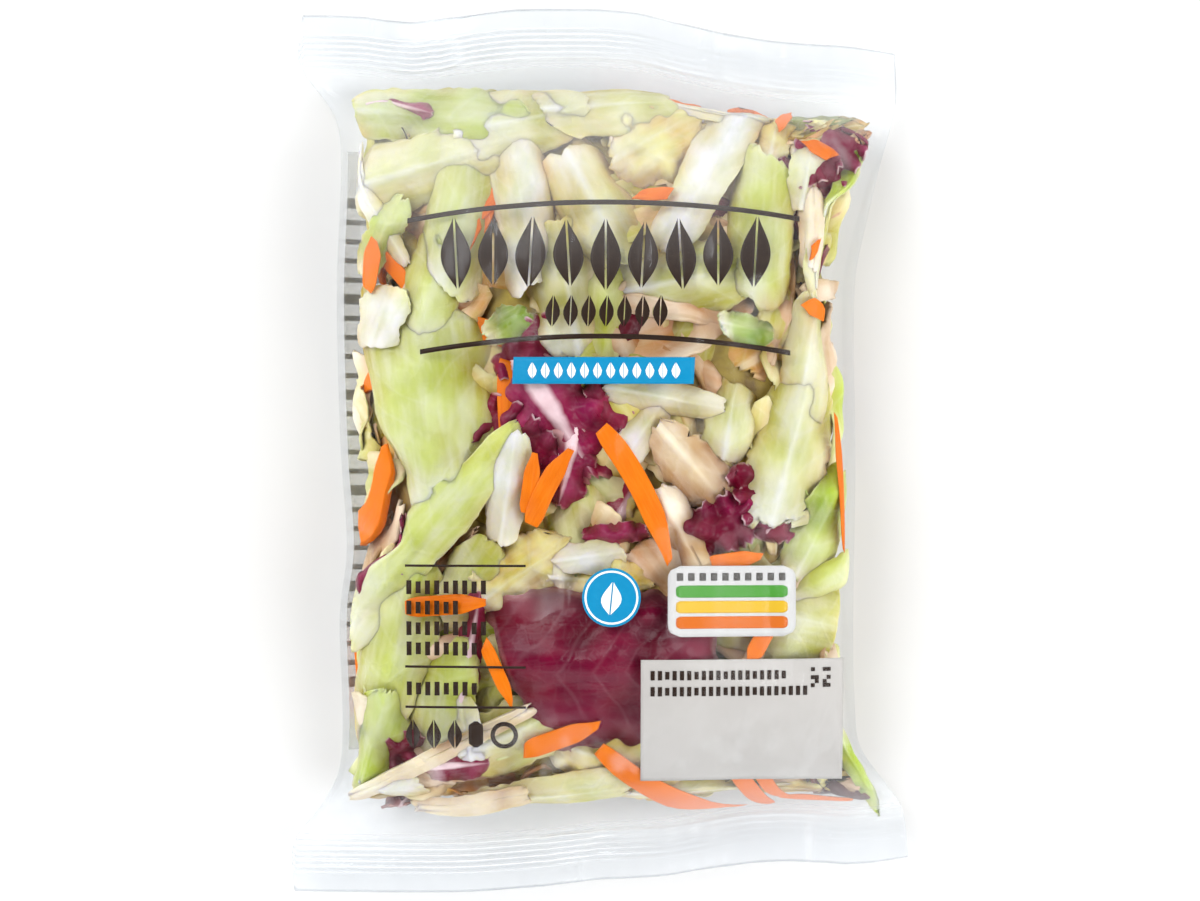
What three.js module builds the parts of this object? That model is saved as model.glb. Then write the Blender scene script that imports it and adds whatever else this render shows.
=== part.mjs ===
// A clear pillow bag filled with cut salad leaves, lying on its back with its front face up.
// It is one closed solid: the filled pouch, a crimped seal across each end, and the long lap
// seal that runs down the underside. The front is lumpy where leaves press against the film.
// Millimetres, +Z up, +X across the bag, +Y towards the top seal, and the table is z = 0.
import * as THREE from "three";

// Driving sizes
const HALF_LENGTH = 105; // from the middle of the bag to the mean line of each cut end
const SEAL_BAND = 13; // cut end to pouch: a plain lip, then the crimps
const LIP = 5;
const CRIMPS = 5; // ridges across each seal
const CRIMP_HEIGHT = 0.5;
const SEAL_THICKNESS = 0.8;
const SEAL_HEIGHT = 13; // of the seals above the table
const RIM_HEIGHT = 20; // of the pouch's side edges above the table
const FRONT_RISE = 30; // of the front face over the side edges
const BACK_DROP = 24; // of the underside below them, before the table flattens it
const FRONT_ROUNDNESS = 2.3; // 2 is an ellipse, and more is squarer
const BACK_ROUNDNESS = 2.6;
const END_REACH = 56; // how far from a seal the pouch is at full depth
const LAP_MIDDLE = 0.1; // of the lap seal, as a share of the half width
const LAP_HALF = 0.085; // half the lap seal's width, as the same share
const LAP_GROOVE = 0.6; // depth of the line along each edge of the lap seal
const GROOVE_HALF = 0.012; // half the groove's width, as the same share

// Fineness of the two faces
const FRONT_COLUMNS = 44;
const BACK_COLUMNS = 20;
const POUCH_ROWS = 40;

// Side edges: [y, x] stations from the bottom cut end to the top one
const LEFT_EDGE = [
  [-105, -77.2], [-92, -77], [-84, -70.5], [-74, -65], [-40, -65.3], [-25, -63.4],
  [0, -65], [40, -66], [70, -65], [80, -66.6], [92, -75.4], [105, -75],
];
const RIGHT_EDGE = [
  [-105, 77.2], [-92, 75.4], [-84, 70.6], [-72, 64], [0, 63.6], [42, 63.4],
  [56, 66], [74, 69.8], [92, 74], [105, 74],
];
// How far each cut end strays from its mean line: [x, stray in y]
const TOP_STRAY = [
  [-77, 4.6], [-58, 4.2], [-43, 1.8], [-31, 5.6], [-10, 6.2], [8, 5.6], [20, 2.4],
  [46, -2.4], [60, -3], [77, -5.4],
];
const BOTTOM_STRAY = [
  [-77, -5.6], [-22, -5.4], [-8, -3], [18, -1.4], [36, 1.8], [50, 2.2], [63, 1.2], [77, 3.2],
];
// How far each seal waves above or below its height: [x, rise]
const TOP_WAVE = [[-77, 1.5], [-52, -1.5], [-34, 2.6], [-12, 0.4], [22, -1.6], [52, 1.4], [77, -2]];
const BOTTOM_WAVE = [[-77, -1.5], [-46, 1.2], [-16, -1.2], [8, 1.8], [44, -1.4], [77, 2]];

// Leaves and sticks that press on the front film: middle, length, width, turn and lift
const PRESSED = [
  { x: -43, y: 6, length: 62, width: 35, turn: 92, lift: 2.2 }, // broad pale leaf
  { x: -42, y: -28, length: 68, width: 15, turn: 56, lift: 1.8 }, // folded green strip
  { x: -12, y: 10, length: 44, width: 26, turn: -42, lift: 2.0 }, // curled red leaf
  { x: 2, y: -52, length: 54, width: 38, turn: -8, lift: 2.2 }, // broad red leaf
  { x: 8, y: -12, length: 36, width: 7, turn: -60, lift: 1.6 }, // carrot stick
  { x: 34, y: -18, length: 22, width: 13, turn: 28, lift: 1.5 }, // small red leaf
  { x: 20, y: 2, length: 30, width: 20, turn: 68, lift: 1.4 }, // cabbage rib
  { x: 46, y: 8, length: 62, width: 15, turn: 78, lift: 1.8 }, // long pale leaf
  { x: 38, y: 52, length: 34, width: 24, turn: 96, lift: 1.8 },
  { x: 14, y: 70, length: 30, width: 22, turn: 20, lift: 1.6 }, // yellow heart
  { x: -34, y: 58, length: 34, width: 20, turn: 80, lift: 1.6 },
  { x: -6, y: 62, length: 32, width: 22, turn: 110, lift: 1.5 },
  { x: 57, y: 76, length: 16, width: 14, turn: 50, lift: 1.4 },
  { x: -44, y: 80, length: 38, width: 15, turn: 4, lift: 1.3 },
  { x: -34, y: -76, length: 44, width: 5, turn: 24, lift: 1.2 }, // cabbage shred
  { x: 16, y: -84, length: 38, width: 7, turn: -28, lift: 1.4 }, // carrot stick
  { x: 44, y: -84, length: 28, width: 9, turn: -14, lift: 1.2 },
];

const LEAF_RIB = 0.8; // height of the rib down the middle of a leaf
const RIB_WIDTH = 2.6;
const NARROWEST_RIBBED = 12; // sticks and shreds narrower than this have no rib

// Smaller leaves that press on the film between those
const SMALL_LEAVES = 48;
const SMALL_SPREAD = { x: 57, y: 86 }; // half the field that they are strewn over

// Gathers that fan out from each seal into the pouch
const FOLDS_PER_SEAL = 10;
const FOLD_HEIGHT = 1.3;
const FOLD_MIDDLE = 9; // distance from the seal where the folds stand highest
const FOLD_REACH = 13;

// A small seeded generator, so that the folds come out the same every time.
function seeded(seed) {
  let state = seed;
  return () => {
    state = (state * 16807) % 2147483647;
    return state / 2147483647;
  };
}

function smooth(low, high, value) {
  return THREE.MathUtils.smoothstep(value, low, high);
}

// A smooth curve through [position, value] stations, flat past either end.
function through(stations, at) {
  const last = stations.length - 1;
  if (at <= stations[0][0]) return stations[0][1];
  if (at >= stations[last][0]) return stations[last][1];
  const i = stations.findIndex(([position]) => position > at) - 1;
  const slope = (k) => {
    const [a, b] = [stations[Math.max(k - 1, 0)], stations[Math.min(k + 1, last)]];
    return (b[1] - a[1]) / (b[0] - a[0]);
  };
  const [[p0, v0], [p1, v1]] = [stations[i], stations[i + 1]];
  const span = p1 - p0;
  const t = (at - p0) / span;
  return (
    v0 * (1 + 2 * t) * (1 - t) ** 2 +
    slope(i) * span * t * (1 - t) ** 2 +
    v1 * t * t * (3 - 2 * t) +
    slope(i + 1) * span * t * t * (t - 1)
  );
}

function foldsOf(seed) {
  const random = seeded(seed);
  return Array.from({ length: FOLDS_PER_SEAL }, (_, i) => ({
    across: -0.9 + (1.8 * (i + 0.2 + 0.6 * random())) / FOLDS_PER_SEAL,
    width: 0.035 + 0.035 * random(),
    height: FOLD_HEIGHT * (i % 2 ? -1 : 1) * (0.5 + 0.5 * random()),
  }));
}

const FOLDS = {
  front: { top: foldsOf(11), bottom: foldsOf(29) },
  back: { top: foldsOf(43), bottom: foldsOf(57) },
};

function foldHeight(face, across, along) {
  const inset = HALF_LENGTH - SEAL_BAND - Math.abs(along);
  if (inset <= 0) return 0;
  const fade = Math.exp(-(((inset - FOLD_MIDDLE) / FOLD_REACH) ** 2)) * smooth(0, FOLD_MIDDLE, inset);
  const folds = FOLDS[face][along > 0 ? "top" : "bottom"];
  const height = (fold) => fold.height * Math.exp(-(((across - fold.across) / fold.width) ** 2));
  return fade * folds.reduce((sum, fold) => sum + height(fold), 0);
}

function smallLeaves(seed) {
  const random = seeded(seed);
  return Array.from({ length: SMALL_LEAVES }, () => ({
    x: SMALL_SPREAD.x * (2 * random() - 1),
    y: SMALL_SPREAD.y * (2 * random() - 1),
    length: 16 + 14 * random(),
    width: 7 + 9 * random(),
    turn: 180 * random(),
    lift: 0.7 + 0.9 * random(),
  }));
}

const LEAVES = [...PRESSED, ...smallLeaves(71)];

// The relief of the pressed leaves: each is a low ribbed plateau, and the highest one shows.
function pressedHeight(x, y) {
  return LEAVES.reduce((highest, leaf) => {
    const turn = THREE.MathUtils.degToRad(leaf.turn);
    const [dx, dy] = [x - leaf.x, y - leaf.y];
    const along = dx * Math.cos(turn) + dy * Math.sin(turn);
    const across = dy * Math.cos(turn) - dx * Math.sin(turn);
    const reach = Math.hypot(along / (leaf.length / 2), across / (leaf.width / 2));
    const rib = leaf.width < NARROWEST_RIBBED ? 0 : LEAF_RIB * Math.exp(-((across / RIB_WIDTH) ** 2));
    return Math.max(highest, (leaf.lift + rib) * (1 - smooth(0.78, 1.12, reach)));
  }, 0);
}

// Broad lumps of the filling, the same all through the bag.
function lumpHeight(x, y) {
  return (
    0.9 * Math.sin(x / 11 + 1.3 * Math.sin(y / 23)) * Math.sin(y / 14 + 0.7) +
    0.6 * Math.sin((x + y) / 8.5 + 2.1) * Math.sin((x - y) / 19)
  );
}

// Crimps run across the seal, and both faces rise and fall together.
function crimpHeight(along) {
  const fromEdge = HALF_LENGTH - Math.abs(along);
  if (fromEdge <= LIP || fromEdge >= SEAL_BAND) return 0;
  const phase = ((fromEdge - LIP) / (SEAL_BAND - LIP)) * CRIMPS;
  return CRIMP_HEIGHT * Math.sin(phase * 2 * Math.PI);
}

// How full the pouch is, from 0 at a seal to 1 a reach away from it.
function fullness(along) {
  const inset = THREE.MathUtils.clamp((HALF_LENGTH - SEAL_BAND - Math.abs(along)) / END_REACH, 0, 1);
  return (1 - (1 - inset) ** 2) ** 0.8;
}

function sealHeight(x, along) {
  const wave = along > 0 ? TOP_WAVE : BOTTOM_WAVE;
  const fromEdge = HALF_LENGTH - Math.abs(along);
  const inPouch = smooth(SEAL_BAND, SEAL_BAND + 34, fromEdge);
  const droop = 2 * (1 - smooth(0, SEAL_BAND, fromEdge));
  const sealed = SEAL_HEIGHT + through(wave, x) - droop + crimpHeight(along);
  return THREE.MathUtils.lerp(sealed, RIM_HEIGHT, inPouch);
}

// The section of the pouch: 1 in the middle and 0 at the side edges.
function superellipse(across, roundness) {
  return (1 - Math.abs(across) ** roundness) ** (1 / roundness);
}

// A point of one face: across runs from -1 to 1 between the side edges, along from end to end.
function facePoint(face, across, along) {
  const middle = (through(LEFT_EDGE, along) + through(RIGHT_EDGE, along)) / 2;
  const halfWidth = (through(RIGHT_EDGE, along) - through(LEFT_EDGE, along)) / 2;
  const x = middle + across * halfWidth;
  const stray = through(along > 0 ? TOP_STRAY : BOTTOM_STRAY, x);
  const y = along + stray * smooth(HALF_LENGTH - 60, HALF_LENGTH - SEAL_BAND, Math.abs(along));
  const full = fullness(along);
  const level = sealHeight(x, along);
  if (face === "front") {
    const section = superellipse(across, FRONT_ROUNDNESS);
    const relief = full * (FRONT_RISE + pressedHeight(x, y) + lumpHeight(x, y));
    return [x, y, level + SEAL_THICKNESS / 2 + section * (relief + foldHeight(face, across, along))];
  }
  const section = superellipse(across, BACK_ROUNDNESS);
  const under = level - SEAL_THICKNESS / 2 - BACK_DROP * full * section;
  const folded = under + section * foldHeight(face, across, along);
  return [x, y, Math.max(folded, 0) + grooveDepth(across, along)];
}

// The line along each edge of the lap seal, which ends at the end seals.
function grooveDepth(across, along) {
  const offLine = Math.abs(Math.abs(across - LAP_MIDDLE) - LAP_HALF);
  const inPouch = HALF_LENGTH - Math.abs(along) > SEAL_BAND + 1;
  return inPouch && offLine < GROOVE_HALF / 2 ? LAP_GROOVE : 0;
}

// Positions across a face, closer together towards the side edges, where it turns steeply.
function columns(count) {
  return Array.from({ length: count + 1 }, (_, i) => {
    const even = (2 * i) / count - 1;
    return 0.8 * Math.sin((even * Math.PI) / 2) + 0.2 * even;
  });
}

// The underside has three more columns at each edge of the lap seal, for its groove.
function backColumns() {
  const lines = [LAP_MIDDLE - LAP_HALF, LAP_MIDDLE + LAP_HALF];
  const grooves = lines.flatMap((line) => [line - GROOVE_HALF, line, line + GROOVE_HALF]);
  const offLines = (column) => lines.every((line) => Math.abs(column - line) > 2 * GROOVE_HALF);
  const clear = columns(BACK_COLUMNS).filter(offLines);
  return [...clear, ...grooves].sort((a, b) => a - b);
}

// Positions along the bag: the lip and the top and foot of each crimp, and wider rows between.
function rows() {
  const seal = [0, LIP / 2, LIP];
  for (let i = 0; i < CRIMPS * 2; i++) seal.push(LIP + ((i + 0.5) * (SEAL_BAND - LIP)) / (CRIMPS * 2));
  const bottom = seal.map((d) => d - HALF_LENGTH);
  const pouch = HALF_LENGTH - SEAL_BAND;
  const middle = Array.from({ length: POUCH_ROWS + 1 }, (_, i) => {
    const even = (2 * i) / POUCH_ROWS - 1;
    return pouch * (0.45 * Math.sin((even * Math.PI) / 2) + 0.55 * even);
  });
  return [...bottom, ...middle, ...bottom.map((y) => -y).reverse()];
}

// Joins the two faces' grids with a wall round their edges into one closed geometry.
function closedShell() {
  const vertices = [];
  const triangles = [];
  const along = rows();
  const grid = (face, across) =>
    along.map((y) => across.map((x) => vertices.push(...facePoint(face, x, y)) / 3 - 1));
  const front = grid("front", columns(FRONT_COLUMNS));
  const back = grid("back", backColumns());
  const fill = (g, up) => {
    for (let r = 0; r + 1 < g.length; r++)
      for (let c = 0; c + 1 < g[r].length; c++) {
        const [a, b, d, e] = [g[r][c], g[r][c + 1], g[r + 1][c], g[r + 1][c + 1]];
        if (up) triangles.push([a, b, e], [a, e, d]);
        else triangles.push([a, e, b], [a, d, e]);
      }
  };
  fill(front, true);
  fill(back, false);
  // Closes the gap between two edges with different numbers of points, going along both.
  const wall = (lower, upper) => {
    let [i, j] = [0, 0];
    while (i + 1 < lower.length || j + 1 < upper.length) {
      const lowerNext = (i + 1) / (lower.length - 1);
      const upperNext = (j + 1) / (upper.length - 1);
      if (j + 1 >= upper.length || (i + 1 < lower.length && lowerNext <= upperNext)) {
        triangles.push([lower[i], lower[i + 1], upper[j]]);
        i++;
      } else {
        triangles.push([lower[i], upper[j + 1], upper[j]]);
        j++;
      }
    }
  };
  const last = along.length - 1;
  wall(back[0], front[0]);
  wall([...back[last]].reverse(), [...front[last]].reverse());
  wall(back.map((row) => row[0]).reverse(), front.map((row) => row[0]).reverse());
  wall(back.map((row) => row.at(-1)), front.map((row) => row.at(-1)));
  const geometry = new THREE.BufferGeometry();
  geometry.setAttribute("position", new THREE.Float32BufferAttribute(vertices, 3));
  geometry.setIndex(triangles.flat());
  geometry.computeBoundingBox();
  const middle = geometry.boundingBox.getCenter(new THREE.Vector3());
  geometry.translate(-middle.x, -middle.y, 0);
  geometry.computeVertexNormals();
  return geometry;
}

function makeBag() {
  const film = new THREE.MeshStandardMaterial({
    name: "clear film over pale leaves",
    color: 0xdde6b4,
    roughness: 0.25,
    metalness: 0,
  });
  const bag = new THREE.Mesh(closedShell(), film);
  bag.name = "bag";
  return bag;
}

const group = new THREE.Group();
group.add(makeBag());

export default group;
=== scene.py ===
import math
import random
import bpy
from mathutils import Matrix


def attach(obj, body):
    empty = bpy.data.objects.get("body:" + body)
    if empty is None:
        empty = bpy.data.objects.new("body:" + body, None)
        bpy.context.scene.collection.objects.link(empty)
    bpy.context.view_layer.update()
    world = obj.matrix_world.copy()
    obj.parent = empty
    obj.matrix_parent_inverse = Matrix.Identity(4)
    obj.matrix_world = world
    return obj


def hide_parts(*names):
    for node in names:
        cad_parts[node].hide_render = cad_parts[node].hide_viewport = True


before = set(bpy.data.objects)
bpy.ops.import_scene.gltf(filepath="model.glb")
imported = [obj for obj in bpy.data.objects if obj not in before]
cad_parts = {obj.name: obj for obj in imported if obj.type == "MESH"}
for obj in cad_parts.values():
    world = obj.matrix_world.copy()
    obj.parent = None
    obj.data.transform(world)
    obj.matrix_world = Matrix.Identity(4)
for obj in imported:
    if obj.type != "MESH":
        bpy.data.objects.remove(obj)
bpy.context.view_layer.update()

# A clear pillow bag of cut salad leaves, lying on its back with its printed front up.
# The film is a finer copy of the imported solid. The leaves, shreds and sticks are laid in it
# one by one: the ones that show in front as listed, and the filling behind them by seeded draws.
# Lengths are in millimetres up to the point where a vertex is placed, which MM turns into metres.
from types import SimpleNamespace

import bmesh
import bpy
from mathutils import Vector, noise
from mathutils.bvhtree import BVHTree

MM = 0.001
draws = random.Random(41)

# Film: its crimped bands, by distance from a cut end, and its creases, by distance from the middle
LIP = 4.5
SEAL_BAND = 14.0
CRIMP_PITCH = 1.5
CRIMP_HEIGHT = 0.22
CRIMP_FADE = 0.6  # at each edge of a band
CRIMP_WEAKER = (-10, 40)  # from where to where across the bag the crimps grow weaker
CUT_MARGIN = 0.5  # of a band, where the film isn't cut finer
CRIMP_CUTS = 1  # that make the film finer along the bag where it is crimped
CREASE_HEIGHT = 0.45
CREASE_DEPTH = 0.2  # of a crease over the leaves
CREASE_START = 60
CREASE_FULL = 92
CREASE_PRESSED = (96, 102)  # where the seal presses the creases flatter
RELAX_PASSES = 16  # smoothing of the surface that the filling is laid on
RELAX_HALF = 85  # half the length along the bag that is smoothed
MERGE_DISTANCE = 0.005

# Room for the filling
FILM_CLEAR = 0.35  # leaf to film
SIDE_CLEAR = (1.2, 4.5)  # leaf to the film's side edge, at least and at most
END_CLEAR = SEAL_BAND - 2.0  # leaf to the cut end
END_SPREAD = 2.4  # how much more the pieces differ at the ends than at the sides
WIDEST = 70.0  # reach of the leaves to each side
EASE = 4.0  # from the edge of the leaves, within which they are pressed together

# Where the filling stays further from the film's edge: position along the edge, and gap
LEFT_GAP = [(-90, 2), (-60, 0), (-32, 1), (-22, 12), (-6, 12), (10, 5), (30, 2), (60, 0), (90, 3)]
RIGHT_GAP = [
    (-90, 4), (-70, 2), (-30, 0), (10, 0), (30, 4), (44, 7), (60, 7), (68, 1), (76, 0), (90, 8),
]
TOP_GAP = [(-66, 4), (-52, -1), (-34, 0), (-8, 2), (20, 0), (40, -1), (56, -1), (70, 3)]
BOTTOM_GAP = [(-70, 8), (-50, 3), (-30, 0), (0, -2), (40, -3), (70, -2)]

# Thickness of the pieces, and where the print lies
LEAF_THICKNESS = 0.35
CABBAGE_THICKNESS = 1.1
INK_DEPTH = 0.1  # under the film
UPPER_INK_DEPTH = 0.06  # of the ink that shows over another
INK_THICKNESS = 0.03
PRINT_CLEAR = 1.5  # print to the film's side edge


def linear(code):
    """A colour given as six hex digits, in the linear values that the shaders use."""
    parts = [int(code[i:i + 2], 16) / 255 for i in (0, 2, 4)]
    return tuple(c / 12.92 if c <= 0.04045 else ((c + 0.055) / 1.055) ** 2.4 for c in parts)


def mixed(a, b, share):
    """The colour that lies by a share of the way from a to b."""
    return tuple(x + (y - x) * share for x, y in zip(a, b))


def clamp(value, low, high):
    return max(low, min(high, value))


def smooth(low, high, value):
    """Rises from 0 at low to 1 at high, with level ends."""
    t = clamp((value - low) / (high - low), 0.0, 1.0)
    return t * t * (3 - 2 * t)


# Colours of the contents, and the shade painted on the ones below
WHITE_RIB = linear("f8f3df")
PALE = linear("ebe6a8")
LIME = linear("ccd676")
FRESH = linear("b4c84c")
GREEN = linear("86b030")
DARK_GREEN = linear("4f7a24")
HEART = linear("ffee90")
HEART_DEEP = linear("e2ba36")
PURPLE = linear("70062c")
DARK_PURPLE = linear("4c041e")
MAGENTA = linear("941e52")
PINK_RIB = linear("ecd2d6")
CABBAGE = linear("e4d8c2")
# brown that the cream and cabbage pieces take at their sides and in their folds: partly their own tone,
# partly painted shade
CREAM_AND_PAINTED_SHADE = linear("a88250")
CARROT = linear("e07000")
CARROT_DEEP = linear("c85a00")
# paler orange: the carrot's own grain, and its painted highlight
CARROT_PALE_AND_HIGHLIGHT = linear("ee8a1a")
PAINTED_WARM_SHADE = linear("d8860a")  # painted shade: the warm tint of light that has passed through leaves above
CLEAR_DEPTH = 2.5  # down to which no shade is painted on the leaves
SHADE_DEPTH = 7.0  # over which they take most of that painted shade

# Tints of the light that passes through the film
FILM_CLEAR_TINT = (0.972, 0.978, 0.983)
FILM_END_TINT = (0.93, 0.945, 0.96)
# painted shade in the crimp troughs and along the cut edges
FILM_PAINTED_SHADE_TINT = (0.3, 0.34, 0.38)


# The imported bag

def added(name, mesh):
    piece = bpy.data.objects.new(name, mesh)
    bpy.context.scene.collection.objects.link(piece)
    return piece


def mesh_of(name, bm):
    """Turns a finished bmesh into a mesh with smooth shading."""
    for face in bm.faces:
        face.smooth = True
    mesh = bpy.data.meshes.new(name)
    bm.to_mesh(mesh)
    bm.free()
    return mesh


def finer_bag(name, levels, passes):
    """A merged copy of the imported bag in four-sided faces, smoothed by passes and subdivided."""
    bm = bmesh.new()
    bm.from_mesh(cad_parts["bag"].data)
    bmesh.ops.remove_doubles(bm, verts=bm.verts, dist=MERGE_DISTANCE * MM)
    bmesh.ops.join_triangles(
        bm, faces=bm.faces, angle_face_threshold=math.pi, angle_shape_threshold=math.pi
    )
    bm.normal_update()
    flat = [v for v in bm.verts if abs(v.normal.z) > 0.8 and abs(v.co.y) < RELAX_HALF * MM]
    for _ in range(passes):
        bmesh.ops.smooth_vert(
            bm, verts=flat, factor=0.5, use_axis_x=False, use_axis_y=False, use_axis_z=True
        )
    piece = added(name, mesh_of(name, bm))
    finer = piece.modifiers.new("finer", "SUBSURF")
    finer.levels = finer.render_levels = levels
    evaluated = piece.evaluated_get(bpy.context.evaluated_depsgraph_get())
    piece.data = bpy.data.meshes.new_from_object(evaluated)
    piece.modifiers.clear()
    return piece


def tree_of(mesh):
    return BVHTree.FromPolygons([v.co for v in mesh.vertices], [p.vertices for p in mesh.polygons])


film = finer_bag("film", levels=2, passes=0)
shape = finer_bag("filling_shape", levels=1, passes=RELAX_PASSES)
FILM_TREE = tree_of(film.data)
SHAPE_TREE = tree_of(shape.data)

EDGE_STEP = 2.0  # along the edges of the film
FAR = 0.2  # metres, well clear of the bag above and below


def edge_lines(mesh, along, across):
    """The lowest and highest value across the mesh at each step along it."""
    low, high = {}, {}
    for vertex in mesh.vertices:
        step = round(vertex.co[along] / MM / EDGE_STEP)
        value = vertex.co[across] / MM
        low[step] = min(low.get(step, value), value)
        high[step] = max(high.get(step, value), value)
    return low, high


def read_line(line, at):
    """The value of an edge line at a place, straight between its steps."""
    place = clamp(at / EDGE_STEP, min(line), max(line))
    step = min(math.floor(place), max(line) - 1)
    return line[step] + (line[step + 1] - line[step]) * (place - step)


SIDES = edge_lines(film.data, 1, 0)
ENDS = edge_lines(film.data, 0, 1)


def through(stations, at):
    """A value eased from station to station, each a position and a value."""
    for (start, low), (end, high) in zip(stations, stations[1:]):
        if at <= end:
            return low + (high - low) * smooth(start, end, at)
    return stations[-1][1]


def eased(distance):
    """A distance to a limit that is kept above zero, and unchanged where it is wide."""
    if distance > EASE:
        return distance
    return EASE * math.exp((distance - EASE) / EASE)


def kept_in(x, y, side_clear):
    """The place in the pouch for a point, at least side_clear in from the edge of the leaves."""
    x = clamp(x, -WIDEST, WIDEST)
    end_clear = END_CLEAR + END_SPREAD * side_clear
    bottom = read_line(ENDS[0], x) + end_clear + through(BOTTOM_GAP, x)
    top = read_line(ENDS[1], x) - end_clear - through(TOP_GAP, x)
    y = bottom + eased(y - bottom) if y < 0 else top - eased(top - y)
    left = read_line(SIDES[0], y) + side_clear + through(LEFT_GAP, y)
    right = read_line(SIDES[1], y) - side_clear - through(RIGHT_GAP, y)
    x = left + eased(x - left) if x < 0 else right - eased(right - x)
    return x, y


def faces_at(tree, x, y):
    """Heights of the front and back film at a place."""
    front = tree.ray_cast(Vector((x * MM, y * MM, FAR)), Vector((0, 0, -1)))[0]
    back = tree.ray_cast(Vector((x * MM, y * MM, -FAR)), Vector((0, 0, 1)))[0]
    return front.z / MM, back.z / MM


def under_front(x, y, depth, side_clear):
    """A place so far under the front film, or in mid pouch where that is less."""
    x, y = kept_in(x, y, side_clear)
    front, back = faces_at(FILM_TREE, x, y)
    room = front - back
    z = front - min(FILM_CLEAR + max(depth, 0), 0.5 * room)
    return Vector((x, y, z)) * MM


def under_skin(point, depth, side_clear):
    """The place so far under the film all round the pouch that is nearest to a point."""
    x, y = kept_in(point.x / MM, point.y / MM, side_clear)
    spot, normal, _, _ = SHAPE_TREE.find_nearest(Vector((x * MM, y * MM, point.z)))
    opposite = SHAPE_TREE.ray_cast(spot - normal * 0.2 * MM, -normal)
    room = opposite[3] if opposite[0] else 0.0
    sunk = spot - normal * min((FILM_CLEAR + max(depth, 0)) * MM, 0.45 * room)
    skin, outward, _, _ = FILM_TREE.find_nearest(sunk)
    if (sunk - skin).dot(outward) > -FILM_CLEAR * MM:
        sunk = skin - outward * FILM_CLEAR * MM
    return sunk


# Leaves, shreds and sticks

class Pieces:
    """All pieces of one kind, gathered in one mesh with what their finish reads."""

    def __init__(self, name):
        self.name = name
        self.bm = bmesh.new()
        self.tint = self.bm.verts.layers.float_color.new("tint")
        self.rib = self.bm.verts.layers.float.new("rib")
        self.place = self.bm.verts.layers.float_vector.new("place")

    def mark(self, vertex, tint, rib, place):
        vertex[self.tint] = (*tint, 1.0)
        vertex[self.rib] = rib
        vertex[self.place] = place

    def finish(self, material, slot, thickness=0.0):
        mesh = mesh_of(self.name, self.bm)
        mesh.materials.append(material)
        piece = added(self.name, mesh)
        if thickness:
            solid = piece.modifiers.new("thickness", "SOLIDIFY")
            solid.thickness = thickness * MM
            solid.offset = -1
            solid.use_even_offset = False
        settle(piece, slot)


def settle(piece, slot):
    """Joins a finished piece to the frame as part of what the bag holds."""
    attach(piece, "root")
    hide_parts("bag")


# How each kind of leaf is drawn: its colours, the heights of its rib, ruffle, crinkles and pleats,
# the length of a wave along its edge, and how square its outline is, as a power
KINDS = {
    "pale": dict(base=PALE, edge=FRESH, rib=0.8, ruffle=1.0, wave=17, crinkle=0.3, pleat=0.5, power=3.2),
    "lime": dict(base=LIME, edge=FRESH, rib=0.3, ruffle=0.7, wave=21, crinkle=0.2, pleat=0.2, power=2.6),
    "white": dict(base=WHITE_RIB, edge=PALE, rib=0.6, ruffle=0.6, wave=23, crinkle=0.2, pleat=0.5, power=3.4),
    "cream": dict(base=CABBAGE, edge=CREAM_AND_PAINTED_SHADE, rib=0.8, ruffle=0.6, wave=19, crinkle=0.3, pleat=0.9, power=3.4),
    "green": dict(base=FRESH, edge=GREEN, rib=0.5, ruffle=1.6, wave=13, crinkle=0.4, pleat=0.6, power=2.8),
    "dark": dict(base=GREEN, edge=DARK_GREEN, rib=0.4, ruffle=1.4, wave=7, crinkle=0.9, pleat=0.8, power=2.2),
    "heart": dict(base=HEART, edge=HEART_DEEP, rib=0.6, ruffle=1.8, wave=7, crinkle=1.8, pleat=0.6,
                  power=2.4),
    "red": dict(base=PURPLE, edge=DARK_PURPLE, rib=0.3, ruffle=1.0, wave=15, crinkle=0.5, pleat=1.0,
                power=8.0, foot=0.0, cut=0.3),
    "curly": dict(base=MAGENTA, edge=PURPLE, rib=1.3, ruffle=3.0, wave=8, crinkle=1.8, pleat=1.2, power=2.4,
                  rib_width=1.8, cut=0.5),
    "ruffled": dict(base=PURPLE, edge=MAGENTA, rib=0.3, ruffle=3.4, wave=5.5, crinkle=2.6, pleat=1.0,
                    power=3.0, foot=0.0, cut=0.7),
    "cabbage": dict(base=CABBAGE, edge=CREAM_AND_PAINTED_SHADE, rib=0.3, ruffle=0.3, wave=23, crinkle=0.1, pleat=0.3,
                    power=5.0),
}
REDS = ("red", "curly", "ruffled")
RIB_AT_TIP = 0.35  # as a share of the rib at the foot

# Relief of a leaf: how far apart its folds, crinkles and pleats are, and how deep the folds go
FOLD_SIZE = 9
FOLD_DEPTH = (1.6, 3.4)  # in the mean, and the most by which they differ
CRINKLE_SIZE = 3.4
PLEAT_SIZE = (4.6, 28)  # across the leaf and along it
CUT_EDGE = 0.97  # share of the way out at which the pale cut edge begins


def torn_edge(kind, s, t, seed, ragged):
    """Half width of a piece as a share of its greatest, with a cut or torn edge on each side."""
    power = kind["power"]
    full = (1 - abs(s) ** power * 0.94) ** (1 / power)
    side = 7.3 if t > 0 else -7.3
    tear = noise.noise((s * 1.7, side, seed)) * 0.3 + noise.noise((s * 7, side, seed + 5)) * 0.08
    tear += ragged * noise.noise((s * 11, side, seed + 7)) * 0.3
    return full * (1 + tear)


def rolled(distance, half, angle):
    """A point of a strip that is rolled by an angle: its reach from the middle and its drop."""
    if abs(angle) < 0.02:
        return distance, 0.0
    radius = half / (abs(angle) / 2)
    drop = radius * (1 - math.cos(distance / radius))
    if angle < 0:
        drop = radius * (1 - math.cos(half / radius)) - drop
    return radius * math.sin(distance / radius), drop


def fold_at(leaf, along, across):
    return noise.noise((along / FOLD_SIZE, across / FOLD_SIZE, leaf.seed))


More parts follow.
